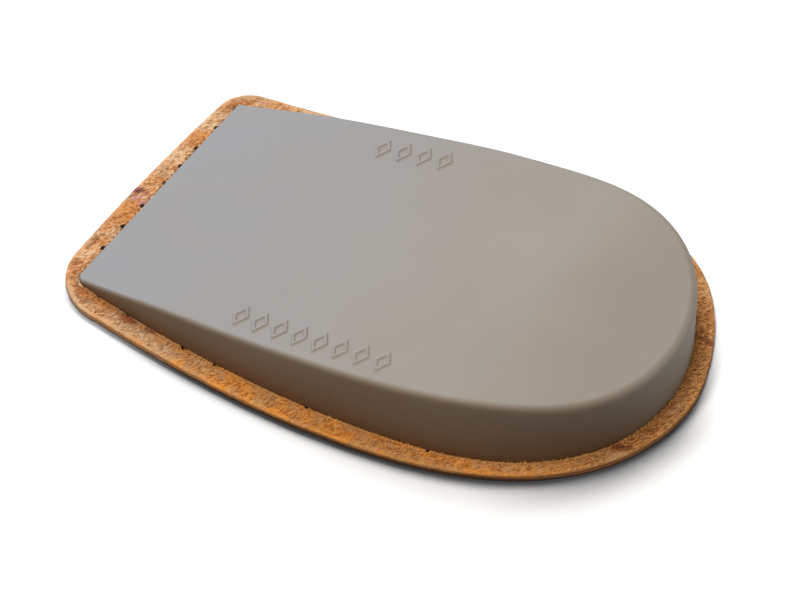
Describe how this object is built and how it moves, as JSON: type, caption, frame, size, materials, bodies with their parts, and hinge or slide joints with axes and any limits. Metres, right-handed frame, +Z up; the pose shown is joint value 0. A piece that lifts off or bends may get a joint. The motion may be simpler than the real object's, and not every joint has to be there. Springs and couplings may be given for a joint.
{
  "type": "heel lift",
  "caption": "Heel lift: a moulded rubber wedge, thick at the round heel and thin at the straight front, on a larger leather cover.",
  "frame": {"origin": "middle of the leather cover's outline box, on its underside, which lies on the surface", "axes": "+Z up, +X along the lift towards the round heel, +Y towards the side away from the camera of the picture"},
  "size_m": [0.0892, 0.0608, 0.0111],
  "materials": {
    "leather": "undyed tan split leather, rough fibrous side up, brown cut edge",
    "rubber": "smooth matte moulded grey rubber"
  },
  "bodies": {
    "root": {"leather_cover": "leather", "rubber_wedge": "rubber"}
  },
  "joints": []
}
